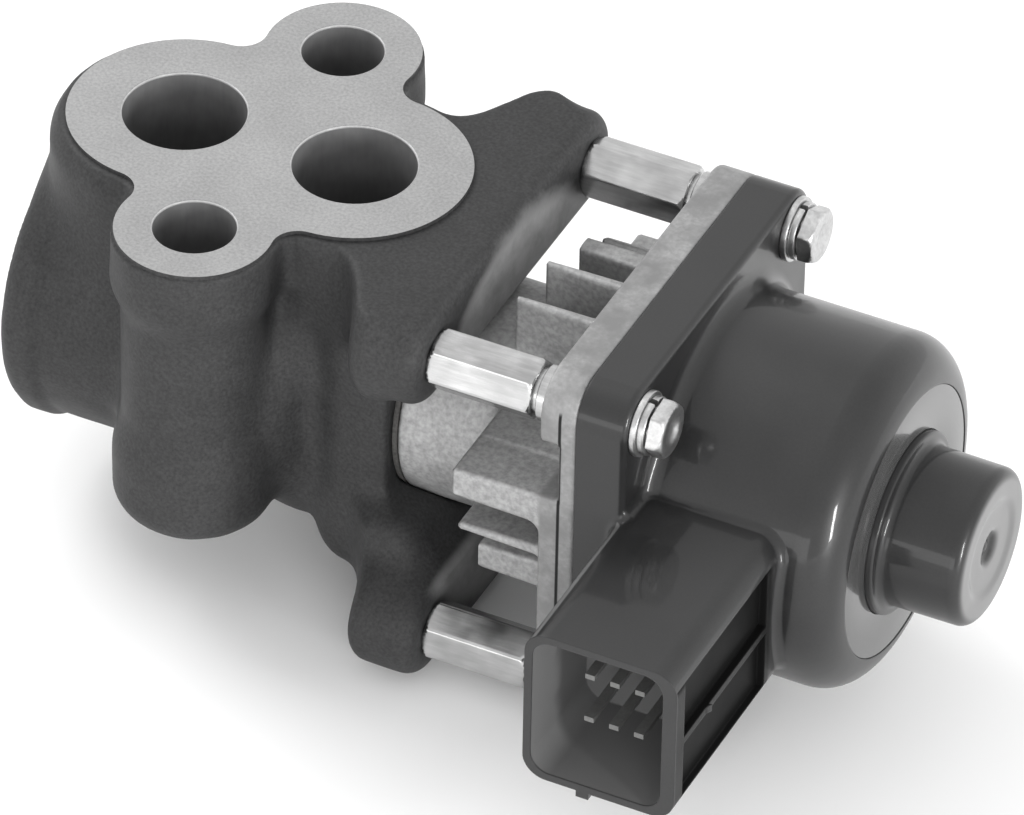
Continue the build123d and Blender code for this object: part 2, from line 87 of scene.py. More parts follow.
cornerPlaces = [(side * cornerHalf, axisZ + rise * cornerHalf) for rise in (1, -1) for side in (-1, 1)]
print("frame loaded:", len(nodes), "nodes")


# materials: every finish is built from noise on Object coordinates, in mm through the scale
def newFinish(name):
    finish = bpy.data.materials.new(name)
    finish.use_nodes = True
    tree = finish.node_tree
    tree.nodes.clear()
    out = tree.nodes.new("ShaderNodeOutputMaterial")
    shader = tree.nodes.new("ShaderNodeBsdfPrincipled")
    tree.links.new(shader.outputs["BSDF"], out.inputs["Surface"])
    where = tree.nodes.new("ShaderNodeTexCoord")
    return finish, tree, shader, where.outputs["Object"]


def addNoise(tree, where, perMm, detail=3.0, rough=0.55, stretch=None):
    # grain whose lumps are about 1 / perMm millimetres wide, drawn out along an axis by stretch
    if stretch is not None:
        squeeze = tree.nodes.new("ShaderNodeMapping")
        squeeze.inputs["Scale"].default_value = stretch
        tree.links.new(where, squeeze.inputs["Vector"])
        where = squeeze.outputs["Vector"]
    noise = tree.nodes.new("ShaderNodeTexNoise")
    noise.inputs["Scale"].default_value = perMm * 1000.0
    noise.inputs["Detail"].default_value = detail
    noise.inputs["Roughness"].default_value = rough
    tree.links.new(where, noise.inputs["Vector"])
    return noise.outputs["Fac"]


def addRamp(tree, value, stops):
    # stops are (place, grey or rgb)
    ramp = tree.nodes.new("ShaderNodeValToRGB")
    marks = ramp.color_ramp.elements
    while len(marks) < len(stops):
        marks.new(0.5)
    for mark, (place, tone) in zip(marks, stops):
        mark.position = place
        shade = (tone, tone, tone) if np.isscalar(tone) else tuple(tone)
        mark.color = (*shade, 1.0)
    tree.links.new(value, ramp.inputs["Fac"])
    return ramp.outputs["Color"]


def addBump(tree, height, depthMm, strength, normal=None):
    bump = tree.nodes.new("ShaderNodeBump")
    bump.inputs["Strength"].default_value = strength
    bump.inputs["Distance"].default_value = depthMm * mm
    tree.links.new(height, bump.inputs["Height"])
    if normal is not None:
        tree.links.new(normal, bump.inputs["Normal"])
    return bump.outputs["Normal"]


def mixTones(tree, share, first, second, how="MIX"):
    mix = tree.nodes.new("ShaderNodeMix")
    mix.data_type = "RGBA"
    mix.blend_type = how
    for socket, value in (("Factor", share), ("A", first), ("B", second)):
        target = [s for s in mix.inputs if s.name == socket and s.enabled][0]
        if hasattr(value, "is_output"):
            tree.links.new(value, target)
        else:
            target.default_value = value
    return [s for s in mix.outputs if s.enabled][0]


def doMath(tree, how, *values):
    step = tree.nodes.new("ShaderNodeMath")
    step.operation = how
    for socket, value in zip(step.inputs, values):
        if hasattr(value, "is_output"):
            tree.links.new(value, socket)
        else:
            socket.default_value = value
    return step.outputs["Value"]


def fadeAt(tree, value, start, end):
    # 0 up to start and 1 from end, or the other way round when start is the larger
    fade = tree.nodes.new("ShaderNodeMapRange")
    fade.interpolation_type = "SMOOTHSTEP"
    tree.links.new(value, fade.inputs["Value"])
    fade.inputs["From Min"].default_value = min(start, end) * mm
    fade.inputs["From Max"].default_value = max(start, end) * mm
    if start > end:
        fade.inputs["To Min"].default_value = 1.0
        fade.inputs["To Max"].default_value = 0.0
    return fade.outputs["Result"]


def splitPlace(tree, where):
    # x, y and z - axisZ of the shaded point, in metres
    apart = tree.nodes.new("ShaderNodeSeparateXYZ")
    tree.links.new(where, apart.inputs["Vector"])
    return apart.outputs["X"], apart.outputs["Y"], doMath(tree, "ADD", apart.outputs["Z"], -axisZ * mm)


def fromAxis(tree, y, z):
    # distance of the shaded point from the valve axis: sqrt(y^2 + z^2)
    squares = doMath(tree, "ADD", doMath(tree, "MULTIPLY", y, y), doMath(tree, "MULTIPLY", z, z))
    return doMath(tree, "SQRT", squares)


# masks for zones of a finish: each pair is where the mask starts to change and where it has changed, in mm
facingLightLook = dict(patchPerMm=0.35, ragged=2.5, circle=(27.0, 24.0), front=(31.7, 32.6))


def facingAndPaintedLight(tree, where):
    # the front of the bars is lighter inside a circle round the valve axis, in patches: partly a machined
    # facing, partly painted light standing in for light reflected onto the shaded bar fronts
    x, y, z = splitPlace(tree, where)
    patchy = addNoise(tree, where, facingLightLook["patchPerMm"], 4.0, 0.6)
    ragged = doMath(tree, "MULTIPLY", doMath(tree, "SUBTRACT", patchy, 0.5), facingLightLook["ragged"] * mm)
    away = doMath(tree, "ADD", fromAxis(tree, y, z), ragged)
    inside = fadeAt(tree, away, *facingLightLook["circle"])
    inside = doMath(tree, "MULTIPLY", inside, fadeAt(tree, x, *facingLightLook["front"]))
    return doMath(tree, "MULTIPLY", inside, addRamp(tree, patchy, [(0.25, 0.6), (0.7, 1.0)]))


seamLook = dict(back=(50.62, 50.78), front=(51.18, 51.02), side=(25.1, 25.3))


def plateSeam(tree, where):
    # dark joint line along the near and far rim of the plate
    x, y, z = splitPlace(tree, where)
    line = doMath(tree, "MULTIPLY", fadeAt(tree, x, *seamLook["back"]), fadeAt(tree, x, *seamLook["front"]))
    return doMath(tree, "MULTIPLY", line, fadeAt(tree, doMath(tree, "ABSOLUTE", y), *seamLook["side"]))


socketLook = dict(root=(-22.5, -23.5), rim=(-48.66, -48.4), under=1.2)


def socketPart(tree, where, start, end, half):
    # the connector between two stations along X and within half its height, behind the rim of its mouth
    x, y, z = splitPlace(tree, where)
    after = fadeAt(tree, x, start - 0.2, start + 0.1)
    before = fadeAt(tree, x, end + 0.1, end - 0.2)
    within = doMath(tree, "MULTIPLY", after, before)
    within = doMath(tree, "MULTIPLY", within, fadeAt(tree, y, *socketLook["root"]))
    within = doMath(tree, "MULTIPLY", within, fadeAt(tree, y, *socketLook["rim"]))
    high = doMath(tree, "ABSOLUTE", doMath(tree, "ADD", z, socketLook["under"] * mm))
    return doMath(tree, "MULTIPLY", within, fadeAt(tree, high, half + 0.15, half))


# painted light: the inside of the connector mouth is painted lighter, lifting the shade inside it
def mouthPaintedLight(tree, where):
    return socketPart(tree, where, start=58.7, end=76.0, half=10.2)


# painted shade: the recessed side panels of the connector are painted darker and duller
def sidePanelsPaintedShade(tree, where):
    return socketPart(tree, where, start=76.2, end=77.6, half=8.55)


# painted reflection: where the boss end face is painted lighter
bossReflectionLook = dict(rim=(9.3, 8.3), dimple=(1.2, 2.6), front=(94.6, 95.2))


def bossEndPaintedReflection(tree, where):
    # the end face of the boss painted lighter: a painted reflection of the bright floor
    x, y, z = splitPlace(tree, where)
    away = fromAxis(tree, y, z)
    ring = fadeAt(tree, away, *bossReflectionLook["rim"])
    ring = doMath(tree, "MULTIPLY", ring, fadeAt(tree, away, *bossReflectionLook["dimple"]))
    return doMath(tree, "MULTIPLY", ring, fadeAt(tree, x, *bossReflectionLook["front"]))


rimLook = dict(patchPerMm=0.22, back=(48.0, 48.8))


def plateRim(tree, where):
    # the rim of the plate is duller than the fins, in patches
    x, y, z = splitPlace(tree, where)
    grain = addNoise(tree, where, rimLook["patchPerMm"], 4.0, 0.6)
    patchy = addRamp(tree, grain, [(0.35, 0.35), (0.65, 1.0)])
    return doMath(tree, "MULTIPLY", fadeAt(tree, x, *rimLook["back"]), patchy)


def addEdge(tree, radiusMm):
    # edge rounding that only the shading sees
    bevel = tree.nodes.new("ShaderNodeBevel")
    bevel.samples = 6
    bevel.inputs["Radius"].default_value = radiusMm * mm
    return bevel.outputs["Normal"]


# one builder for the grained finishes: two sizes of grain in tone, gloss and height
def grainedFinish(name, look):
    finish, tree, shader, where = newFinish(name)
    fine = addNoise(tree, where, look["finePerMm"], stretch=look.get("stretch"))
    broad = addNoise(tree, where, look["broadPerMm"], 2.0)
    base = np.array(look["tone"])
    tone = addRamp(tree, fine, [(0.3, base * (1 - look["spread"])), (0.7, base * (1 + look["spread"]))])
    cloud = addRamp(tree, broad, [(0.3, 1 - look["cloud"]), (0.7, 1.0)])
    tone = mixTones(tree, 1.0, tone, cloud, "MULTIPLY")
    shader.inputs["Specular IOR Level"].default_value = look.get("specular", 0.5)
    coatWeight, coatRough = look.get("coat", (0.0, 0.1))
    shader.inputs["Coat Weight"].default_value = coatWeight
    shader.inputs["Coat Roughness"].default_value = coatRough
    for zone, zoneTone, zoneLevels in look.get("zones", ()):
        share = zone(tree, where)
        tone = mixTones(tree, share, tone, (zoneTone, zoneTone, zoneTone, 1.0))
        for socketName, level in zoneLevels.items():
            socket = shader.inputs[socketName]
            before = socket.links[0].from_socket if socket.is_linked else socket.default_value
            tree.links.new(doMath(tree, "MULTIPLY_ADD", share, level - socket.default_value, before), socket)
    tree.links.new(tone, shader.inputs["Base Color"])
    gloss = addRamp(tree, broad, [(0.25, look["rough"][0]), (0.75, look["rough"][1])])
    tree.links.new(gloss, shader.inputs["Roughness"])
    normal = addEdge(tree, look["edgeMm"]) if "edgeMm" in look else None
    normal = addBump(tree, broad, look["broadMm"], look["bump"], normal)
    normal = addBump(tree, fine, look["fineMm"], look["bump"], normal)
    tree.links.new(normal, shader.inputs["Normal"])
    shader.inputs["Metallic"].default_value = look["metal"]
    return finish


blackCasting = grainedFinish("blackCasting", dict(
    tone=(0.035, 0.035, 0.0355), spread=0.30, cloud=0.20, finePerMm=2.4, broadPerMm=0.14, rough=(0.50, 0.62),
    fineMm=0.05, broadMm=0.14, bump=0.30, metal=0.0, specular=0.24,
    # zone: bar fronts lightened, partly machined facing and partly painted light
    zones=[(facingAndPaintedLight, 0.22, {"Specular IOR Level": 0.4})]))
machinedFace = grainedFinish("machinedFace", dict(
    tone=(0.33, 0.33, 0.33), spread=0.16, cloud=0.14, finePerMm=2.6, broadPerMm=0.10, rough=(0.44, 0.58),
    fineMm=0.016, broadMm=0.02, bump=0.35, metal=0.30))
# machined chamfer finish lightened beyond the face: painted highlight on the hole edges
edgePaintedHighlight = grainedFinish("edgePaintedHighlight", dict(
    tone=(0.48, 0.48, 0.48), spread=0.10, cloud=0.12, finePerMm=2.6, broadPerMm=0.3, rough=(0.30, 0.42),
    fineMm=0.010, broadMm=0.02, bump=0.25, metal=0.4))
boredWall = grainedFinish("boredWall", dict(
    tone=(0.16, 0.16, 0.161), spread=0.06, cloud=0.22, finePerMm=1.6, broadPerMm=0.25, rough=(0.42, 0.58),
    fineMm=0.012, broadMm=0.05, bump=0.30, metal=0.2, stretch=(1.0, 1.0, 0.25), specular=0.3))
castAluminium = grainedFinish("castAluminium", dict(
    tone=(0.38, 0.38, 0.38), spread=0.22, cloud=0.22, finePerMm=1.6, broadPerMm=0.20, rough=(0.44, 0.60),
    fineMm=0.08, broadMm=0.2, bump=0.40, metal=0.40, specular=0.5,
    zones=[(plateRim, 0.20, {}), (plateSeam, 0.02, {"Specular IOR Level": 0.1})]))
blackPlastic = grainedFinish("blackPlastic", dict(
    tone=(0.014, 0.014, 0.0143), spread=0.15, cloud=0.22, finePerMm=3.5, broadPerMm=0.10, rough=(0.34, 0.46),
    fineMm=0.010, broadMm=0.05, bump=0.20, metal=0.0, edgeMm=0.35, specular=0.34, coat=(0.42, 0.07),
    # zones: painted light inside the connector mouth, painted shade on the side panels, painted reflection on
    # the boss end face
    zones=[(mouthPaintedLight, 0.135, {"Specular IOR Level": 0.12, "Coat Weight": 0.05}),
           (sidePanelsPaintedShade, 0.006, {"Specular IOR Level": 0.04, "Coat Weight": 0.0}), (bossEndPaintedReflection, 0.12, {})]))
zincSteel = grainedFinish("zincSteel", dict(
    tone=(0.58, 0.58, 0.58), spread=0.12, cloud=0.20, finePerMm=2.2, broadPerMm=0.4, rough=(0.30, 0.44),
    fineMm=0.02, broadMm=0.05, bump=0.30, metal=1.0))
postSteel = grainedFinish("postSteel", dict(
    tone=(0.58, 0.58, 0.58), spread=0.10, cloud=0.30, finePerMm=2.0, broadPerMm=0.20, rough=(0.16, 0.28),
    fineMm=0.01, broadMm=0.04, bump=0.30, metal=1.0, stretch=(0.12, 1.0, 1.0)))
greyDisc = grainedFinish("greyDisc", dict(
    tone=(0.058, 0.058, 0.058), spread=0.02, cloud=0.20, finePerMm=2.6, broadPerMm=0.3, rough=(0.13, 0.20),
    fineMm=0.0002, broadMm=0.01, bump=0.10, metal=0.0, specular=0.42, coat=(0.5, 0.06)))
# the tin is darkened: painted shade for the pins set deep in the connector mouth
tinnedPin = grainedFinish("tinnedPin", dict(
    tone=(0.16, 0.16, 0.157), spread=0.10, cloud=0.15, finePerMm=4.0, broadPerMm=0.8, rough=(0.30, 0.42),
    fineMm=0.006, broadMm=0.02, bump=0.25, metal=0.35))
hardSteel = grainedFinish("hardSteel", dict(
    tone=(0.36, 0.36, 0.37), spread=0.10, cloud=0.15, finePerMm=2.0, broadPerMm=0.4, rough=(0.24, 0.40),
    fineMm=0.010, broadMm=0.03, bump=0.3, metal=1.0))
bronze = grainedFinish("bronze", dict(
    tone=(0.40, 0.24, 0.09), spread=0.12, cloud=0.20, finePerMm=2.4, broadPerMm=0.5, rough=(0.30, 0.45),
    fineMm=0.012, broadMm=0.03, bump=0.3, metal=1.0))
carbon = grainedFinish("carbon", dict(
    tone=(0.020, 0.020, 0.021), spread=0.3, cloud=0.2, finePerMm=3.0, broadPerMm=0.6, rough=(0.40, 0.55),
    fineMm=0.02, broadMm=0.03, bump=0.3, metal=0.0))
gasketFibre = grainedFinish("gasketFibre", dict(
    tone=(0.075, 0.073, 0.070), spread=0.35, cloud=0.25, finePerMm=2.4, broadPerMm=0.5, rough=(0.7, 0.85),
    fineMm=0.05, broadMm=0.05, bump=0.4, metal=0.0))
sealRubber = grainedFinish("sealRubber", dict(
    tone=(0.012, 0.012, 0.012), spread=0.15, cloud=0.15, finePerMm=3.0, broadPerMm=0.5, rough=(0.5, 0.62),
    fineMm=0.01, broadMm=0.03, bump=0.3, metal=0.0))
whitePlastic = grainedFinish("whitePlastic", dict(
    tone=(0.62, 0.61, 0.57), spread=0.04, cloud=0.08, finePerMm=3.0, broadPerMm=0.3, rough=(0.38, 0.5),
    fineMm=0.006, broadMm=0.03, bump=0.25, metal=0.0))
ferrite = grainedFinish("ferrite", dict(
    tone=(0.045, 0.044, 0.043), spread=0.22, cloud=0.18, finePerMm=3.4, broadPerMm=0.4, rough=(0.46, 0.6),
    fineMm=0.015, broadMm=0.03, bump=0.3, metal=0.1))
copper = grainedFinish("copper", dict(
    tone=(0.48, 0.19, 0.08), spread=0.15, cloud=0.15, finePerMm=3.0, broadPerMm=0.5, rough=(0.28, 0.4),
    fineMm=0.06, broadMm=0.03, bump=0.5, metal=1.0, stretch=(1.0, 0.06, 0.06)))
print("finishes made")

slotLooks = dict(
    cast_body=blackCasting, cast_aluminium=castAluminium, black_plastic=blackPlastic, zinc_steel=zincSteel,
    post_steel=postSteel, grey_disc=greyDisc, tinned_pin=tinnedPin, hard_steel=hardSteel, bronze=bronze,
    carbon=carbon, gasket_fibre=gasketFibre, seal_rubber=sealRubber, white_plastic=whitePlastic,
    ferrite=ferrite, copper=copper)
for part in frame["record"]["subparts"]:
    mesh = nodes[part["node"]].data
    mesh.materials.clear()
    mesh.materials.append(slotLooks[part["material_slot"]])


# grids: arrays in mm become one mesh object with its place in the mesh
def makePiece(name, points, faces, looks, normals=None):
    mesh = bpy.data.meshes.new(name)
    mesh.from_pydata((np.asarray(points) * mm).tolist(), [], [list(face) for face in faces])
    mesh.polygons.foreach_set("use_smooth", np.ones(len(mesh.polygons), dtype=bool))
    for look in looks:
        mesh.materials.append(look)
    if normals is not None:
        mesh.normals_split_custom_set_from_vertices(normals.tolist())
    mesh.update()
    piece = bpy.data.objects.new(name, mesh)
    scene.collection.objects.link(piece)
    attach(piece, "housing")
    return piece


def cadSurface(node):
    # corners and shading normals of a CAD node's triangles, in mm
    mesh = nodes[node].data
    spots = np.empty(len(mesh.vertices) * 3)
    facing = np.empty(len(mesh.loops) * 3)
    corner = np.empty(len(mesh.loops), dtype=np.int64)
    mesh.vertices.foreach_get("co", spots)
    mesh.loops.foreach_get("vertex_index", corner)
    mesh.corner_normals.foreach_get("vector", facing)
    return spots.reshape(-1, 3)[corner].reshape(-1, 3, 3) / mm, facing.reshape(-1, 3, 3)


def mergedFaces(corners):
    # equal corners become one point; tells which triangles keep three different points
    points, inverse = np.unique(np.round(corners.reshape(-1, 3), 4), axis=0, return_inverse=True)
    faces = inverse.reshape(-1, 3)
    whole = (faces[:, 0] != faces[:, 1]) & (faces[:, 1] != faces[:, 2]) & (faces[:, 0] != faces[:, 2])
    return points, faces[whole], whole


def gridFaces(rows, columns, closedRows, closedColumns, start=0):
    # quads of a grid numbered row by row
    r = np.arange(rows if closedRows else rows - 1)[:, None]
    c = np.arange(columns if closedColumns else columns - 1)[None, :]
    rNext, cNext = (r + 1) % rows, (c + 1) % columns
    quads = np.stack(np.broadcast_arrays(r * columns + c, r * columns + cNext, rNext * columns + cNext,
                                         rNext * columns + c), axis=-1)
    return (quads.reshape(-1, 4) + start).tolist()


def softened(profile, radius, steps=3):
    # a closed outline with each corner cut by a quadratic curve: p(t) = (1-t)^2 a + 2t(1-t) b + t^2 c
    profile = np.asarray(profile, float)

    def toward(other):
        gap = other - profile
        length = np.linalg.norm(gap, axis=1, keepdims=True)
        return profile + gap / length * np.minimum(radius, length * 0.45)

    a = toward(np.roll(profile, 1, axis=0))
    c = toward(np.roll(profile, -1, axis=0))
    t = np.linspace(0, 1, steps + 1)[None, :, None]
    curve = (1 - t) ** 2 * a[:, None] + 2 * t * (1 - t) * profile[:, None] + t ** 2 * c[:, None]
    return curve.reshape(-1, 2)


def turnedRing(profile, y, z, count, upright=False, x=0.0):
    # closed outline (along, radius) turned about an axis: p(s, a) = centre + along + radius * (cos a, sin a)
    profile = np.asarray(profile, float)
    angle = np.linspace(0, 2 * np.pi, count, endpoint=False)
    along = np.repeat(profile[:, 0][:, None], count, axis=1)
    first = profile[:, 1][:, None] * np.cos(angle)[None, :]
    second = profile[:, 1][:, None] * np.sin(angle)[None, :]
    if upright:
        points = np.stack([x + first, y + second, z + along], axis=-1)
    else:
        points = np.stack([x + along, y + first, z + second], axis=-1)
    return points.reshape(-1, 3), gridFaces(len(profile), count, True, True)


def joined(parts):
    # several (points, faces) as one
    points, faces, start = [], [], 0
    for some, quads in parts:
        points.append(some)
        faces += [[i + start for i in quad] for quad in quads]
        start += len(some)
    return np.concatenate(points), faces


def turnOutward(piece):
    # faces of a closed piece are made to look outward
    work = bmesh.new()
    work.from_mesh(piece.data)
    bmesh.ops.remove_doubles(work, verts=work.verts, dist=1e-6)  # one point at each pole
    bmesh.ops.delete(work, geom=[edge for edge in work.edges if not edge.link_faces], context="EDGES")
    bmesh.ops.recalc_face_normals(work, faces=work.faces)
    work.to_mesh(piece.data)
    work.free()
    piece.data.update()


def addSharp(piece, degrees):
    # shading breaks at edges sharper than this
    piece.data.set_sharp_from_angle(angle=math.radians(degrees))


# castings: the skin is the zero level of a field in mm, negative inside the metal
def blendIn(a, b, width):
    # union with a rounded inner corner: min(a, b) - width h (1 - h), h = clip(1/2 + (b - a) / 2 width)
    h = np.clip(0.5 + 0.5 * (b - a) / width, 0.0, 1.0)
    return b + (a - b) * h - width * h * (1.0 - h)


def cutOut(a, b, width):
    return -blendIn(-a, b, width)


def rounded(side, cap, edge):
    # what lies inside both, with the edge between them rounded
    u, v = side + edge, cap + edge
    return np.minimum(np.maximum(u, v), 0.0) + np.hypot(np.maximum(u, 0.0), np.maximum(v, 0.0)) - edge


def span(value, low, high):
    return np.abs(value - (low + high) / 2) - (high - low) / 2


def ease(value, start, end):
    t = np.clip((value - start) / (end - start), 0.0, 1.0)
    return t * t * (3 - 2 * t)


def skinOf(field, low, high, step, passes=4):
    # one point in each grid cell that the zero level crosses, at the mean of the crossings on its edges,
    # and one quad per crossed grid edge; then each point moves down the field's slope to the zero level:
    # p -= f grad / |grad|^2
    lines = [np.arange(a, b + step, step) for a, b in zip(low, high)]
    grid = np.meshgrid(*lines, indexing="ij")
    value = field(*grid).astype(np.float32)
    inside = value < 0
    corners = [(i, j, k) for i in (0, 1) for j in (0, 1) for k in (0, 1)]
    shape = np.array(value.shape) - 1
    filled = sum(inside[i:i + shape[0], j:j + shape[1], k:k + shape[2]].astype(np.int8)
                 for i, j, k in corners)
    cells = np.argwhere((filled > 0) & (filled < 8))
    number = np.full(shape, -1)
    number[tuple(cells.T)] = np.arange(len(cells))
    total = np.zeros((len(cells), 3))
    count = np.zeros((len(cells), 1))
    for a in corners:
        for axis in range(3):
            if a[axis]:
                continue
            b = tuple(a[i] + (i == axis) for i in range(3))
            va = value[tuple((cells + a).T)]
            vb = value[tuple((cells + b).T)]
            crossed = (va < 0) != (vb < 0)
            t = np.where(crossed, va / np.where(crossed, va - vb, 1.0), 0.0)[:, None]
            total += crossed[:, None] * (np.array(a) + t * (np.array(b) - np.array(a)))
            count += crossed[:, None]
    points = np.array(low) + (cells + total / count) * step
    quads = []
    for axis in range(3):
        one, two = (axis + 1) % 3, (axis + 2) % 3
        ahead = np.take(inside, range(1, inside.shape[axis]), axis=axis)
        here = np.take(inside, range(inside.shape[axis] - 1), axis=axis)
        edge = np.argwhere(ahead != here)
        within = (edge[:, one] > 0) & (edge[:, one] < inside.shape[one] - 1)
        within &= (edge[:, two] > 0) & (edge[:, two] < inside.shape[two] - 1)
        edge = edge[within]
        leaving = here[tuple(edge.T)]
        ring = []
        for da, db in ((1, 1), (0, 1), (0, 0), (1, 0)):
            cell = edge.copy()
            cell[:, one] -= da
            cell[:, two] -= db
            ring.append(number[tuple(cell.T)])
        ring = np.stack(ring, axis=-1)
        ring[~leaving] = ring[~leaving][:, ::-1]
        quads.append(ring)
    quads = np.concatenate(quads)
    small = 0.02

    def slope(p):
        # central differences
        x, y, z = p.T
        overX = field(x + small, y, z) - field(x - small, y, z)
        overY = field(x, y + small, z) - field(x, y - small, z)
        overZ = field(x, y, z + small) - field(x, y, z - small)
        return np.stack([overX, overY, overZ], axis=-1) / (2 * small)

    for _ in range(passes):
        steep = slope(points)
        move = field(*points.T)[:, None] * steep / np.maximum((steep ** 2).sum(1, keepdims=True), 0.25)
        points -= np.clip(move, -0.5 * step, 0.5 * step)
    steep = slope(points)
    normals = steep / np.maximum(np.linalg.norm(steep, axis=1, keepdims=True), 1e-6)
    return points, quads.tolist(), normals


bodyLook = dict(
    step=0.6, blend=4.0, barBlend=4.5, softBlend=3.0, wobble=0.016,
    top=-0.5, portR=7.62, boltR=5.12, portLobe=14.2, boltLobe=9.6, flangeDraft=0.032,
    columnR=8.8, columnFoot=1.1, columnEnd=-41.7, noseR=18.4, noseLip=0.7, noseEnd=-27.3, bossR=16.1,
    chamberHalf=15.5, chamberEnd=-47.8, barR=6.34, barBack=23.6, barFront=32.7, neckRoom=14.15)


def bodyField(x, y, z):
    # the body's forms, each blended into the ones before it, and then its bores cut out
    look = bodyLook
    soft = look["softBlend"]
    ay = np.abs(y)
    dz = z - axisZ
    bolts = np.hypot(x, ay - boltY)
    ports = np.hypot(np.abs(x) - portX, y)
    lobes = blendIn(ports - look["portLobe"], bolts - look["boltLobe"], look["blend"])
    flange = rounded(lobes + look["flangeDraft"] * z, span(z, -9.5, 6.0), 3.0)
    columnR = look["columnR"] + look["columnFoot"] * ease(-z, 26.0, 33.0)
    columns = rounded(bolts - columnR, span(z, look["columnEnd"], 3.0), 4.0)
    noseR = look["noseR"] + look["noseLip"] * ease(-x, 21.5, 23.5)
    nose = rounded(np.hypot(y, dz) - noseR, span(x, look["noseEnd"], portX), 2.5)
    boss = rounded(np.hypot(x + portX, y) - look["bossR"], span(z, axisZ, -0.6), 3.0)
    wall = rounded(np.hypot(x - portX, y) - look["portLobe"], span(z, -47.6, 20.0), 9.0)
    wall = -blendIn(-wall, look["top"] - z, 1.0)
    chamber = rounded(ay - look["chamberHalf"], span(x, 14.0, 30.0), 4.0)
    chamber = rounded(chamber, span(z, look["chamberEnd"], -3.0), 4.0)
    chamber = -blendIn(-chamber, look["barBack"] - x, 1.0)
    deckWide = 13.8 + 9.0 * ease(x, 15.0, 25.5)
    deckEnds = np.maximum(span(z, -12.9, -0.45), span(x, portX, 26.5))
    deck = rounded(0.65 * (ay - deckWide), deckEnds, 1.4)
    webWide = 14.5 + 5.0 * ease(x, 17.5, 23.5)
    webEnds = rounded(span(z, -48.6, -36.0), span(x, 14.0, 30.0), 4.5)
    web = rounded(0.75 * (ay - webWide), webEnds, 2.4)
    bars = np.hypot(np.maximum(ay - cornerHalf, 0.0), np.abs(dz) - cornerHalf) - look["barR"]
    bars = rounded(bars, span(x, look["barBack"], look["barFront"]), 2.2)
    solid = blendIn(blendIn(nose, boss, soft), columns, look["blend"])
    solid = blendIn(solid, blendIn(wall, chamber, soft), look["blend"])
    solid = blendIn(solid, flange, 2.4)
    solid = blendIn(blendIn(solid, deck, soft), web, soft)
    solid = blendIn(solid, bars, look["barBlend"])
    waves = np.sin(0.83 * x + 1.3 * y) + np.sin(0.71 * y - 1.1 * z + 2.0) + np.sin(0.94 * z + 0.67 * x + 4.0)
    solid += look["wobble"] * waves * ease(32.0 - x, 0.0, 3.0)
    solid = cutOut(np.maximum(solid, x - look["barFront"]), look["top"] - z, 0.4)
    solid = cutOut(solid, np.maximum(ports - look["portR"], -20.0 - z), 0.5)
    solid = cutOut(solid, bolts - look["boltR"], 0.5)
    bore = np.select([x < -2.5, x < 2.5, x < 16.6, x < 21.8], [13.12, 11.5, 10.5, 4.7], 5.5)
    solid = cutOut(solid, np.hypot(y, dz) - bore, 0.3)
    room = np.maximum(np.hypot(y, dz) - look["neckRoom"], look["barBack"] - x)  # for the heat sink's neck
    return cutOut(solid, room, 0.4)


points, quads, normals = skinOf(bodyField, (-28.5, -30.3, -55.6), (33.9, 30.3, 0.9), bodyLook["step"])
castBody = makePiece("castBody", points, quads, [blackCasting], normals)
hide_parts("valve_body")
print("cast body:", len(quads), "quads")

# machined top: the flat face of the body as a thin plate, its rim in the cast finish
faceLook = dict(thick=1.0)
corners = cadSurface("valve_body")[0]
flat = (corners[:, :, 2] > -0.01).all(axis=1)
points, flatFaces, _ = mergedFaces(corners[flat])
first, second, third = points[flatFaces].transpose(1, 0, 2)
upright = np.cross(second - first, third - first)[:, 2] > 0
flatFaces[~upright] = flatFaces[~upright][:, ::-1]
facePlate = makePiece("facePlate", points, flatFaces.tolist(), [machinedFace, blackCasting])
facePlate.data.polygons.foreach_set("use_smooth", np.zeros(len(facePlate.data.polygons), dtype=bool))
wall = facePlate.modifiers.new("thick", "SOLIDIFY")
wall.thickness = faceLook["thick"] * mm
wall.offset = -1.0
wall.material_offset_rim = 1
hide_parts("valve_body")
print("machined face:", len(flatFaces), "triangles")

# bored walls of the ports and bolt holes, the bore of the nose, and a fine edge round each hole, a machined
# chamfer lightened as a painted highlight
holeLook = dict(edge=0.15, wall=0.9, count=128)
holes = [  # x, y, radius, depth
    (-portX, 0, 7.5, 16.9), (portX, 0, 7.5, 20.2), (0, -boltY, 5.0, 41.7), (0, boltY, 5.0, 41.7)]
walls, edges = [], []
for x, y, radius, depth in holes:
    lip = radius + holeLook["edge"]
    outer = radius + holeLook["wall"]
    outline = [(-0.25, radius + 0.1), (-0.3, radius), (-depth, radius)]
    outline += [(-depth, outer), (-1.2, outer), (-0.6, lip)]
    walls.append(turnedRing(softened(outline, 0.08, 2), y, 0, holeLook["count"], True, x))
    outline = [(-0.01, lip + 0.05), (-0.02, lip), (-holeLook["edge"], radius)]
    outline += [(-0.34, radius), (-0.34, outer - 0.3)]
    edges.append(turnedRing(softened(outline, 0.04, 2), y, 0, holeLook["count"], True, x))
outline = [(-27.1, 13.3), (-27.0, 13.0), (-14.0, 13.0), (-14.0, 13.8), (-26.5, 13.8)]  # bore of the nose
walls.append(turnedRing(softened(outline, 0.08, 2), 0, axisZ, holeLook["count"]))
for name, parts, look in (("boreWalls", walls, boredWall), ("holeEdges", edges, edgePaintedHighlight)):
    points, quads = joined(parts)
    piece = makePiece(name, points, quads, [look])
    turnOutward(piece)
    addSharp(piece, 50)
    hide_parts("valve_body")
print("bored walls and hole edges made")

